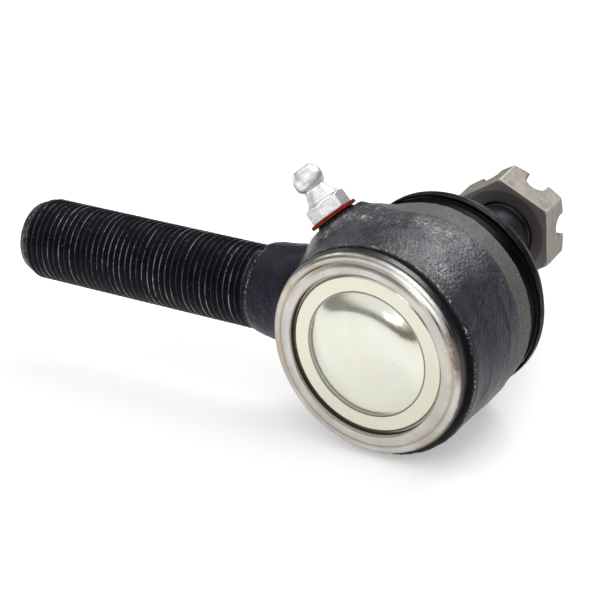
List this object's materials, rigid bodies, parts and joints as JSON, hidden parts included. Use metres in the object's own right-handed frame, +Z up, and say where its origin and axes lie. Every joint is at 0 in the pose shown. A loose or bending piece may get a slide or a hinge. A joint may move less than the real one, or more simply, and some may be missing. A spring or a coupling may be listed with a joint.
{
  "type": "tie rod end",
  "caption": "Greasable tie rod end: tapered ball stud with a slotted nut, swivelling in a booted forged socket on a threaded shank.",
  "frame": {"origin": "centre of the ball", "axes": "+Y along the socket's axis from the cover plate towards the stud's nut, -X along the threaded shank, +Z up on the grease fitting's side"},
  "size_m": [0.1185, 0.0796, 0.0532],
  "materials": {
    "forged_black": "satin",
    "black_oxide_steel": "gloss",
    "seat_plastic": "satin",
    "spring_steel": "satin",
    "zinc_plated_steel": "satin",
    "black_rubber": "satin",
    "dark_wire": "satin",
    "nut_steel": "matte",
    "bright_zinc": "gloss",
    "red_fibre": "matte"
  },
  "bodies": {
    "socket": {"housing": "forged_black", "upper_bearing_seat": "seat_plastic", "lower_bearing_seat": "seat_plastic", "preload_spring": "spring_steel", "cover_plate": "zinc_plated_steel", "boot_clamp_ring": "dark_wire", "grease_fitting_body": "bright_zinc", "fitting_washer": "red_fibre", "fitting_spring": "spring_steel"},
    "boot": {"dust_boot": "black_rubber"},
    "boot_neck": {"boot_neck_ring": "dark_wire"},
    "stud": {"ball_stud": "black_oxide_steel"},
    "nut": {"castle_nut": "nut_steel"},
    "check_ball": {"fitting_check_ball": "spring_steel"}
  },
  "joints": [
    {"name": "swing_direction", "type": "hinge", "parent": "socket", "child": "boot", "pos_m": [0, 0, 0], "axis": [0, 1, 0], "continuous": true, "deforming": ["dust_boot"]},
    {"name": "swing_angle", "type": "hinge", "parent": "boot", "child": "boot_neck", "pos_m": [0, 0, 0], "axis": [0, 0, 1], "range_deg": [-30.8, 19.2], "deforming": ["dust_boot"]},
    {"name": "stud_spin", "type": "hinge", "parent": "boot_neck", "child": "stud", "pos_m": [0, 0, 0], "axis": [-0.1011, 0.9949, 0], "continuous": true},
    {"name": "nut_turn", "type": "hinge", "parent": "stud", "child": "nut", "pos_m": [0, 0, 0], "axis": [-0.1011, 0.9949, 0], "continuous": true},
    {"name": "check_ball_lift", "type": "slide", "parent": "socket", "child": "check_ball", "axis": [0.6521, 0, -0.7581], "range_m": [0, 0.0008], "stiffness_N_per_m": 250, "springref_m": -0.0008, "deforming": ["fitting_spring"]}
  ]
}
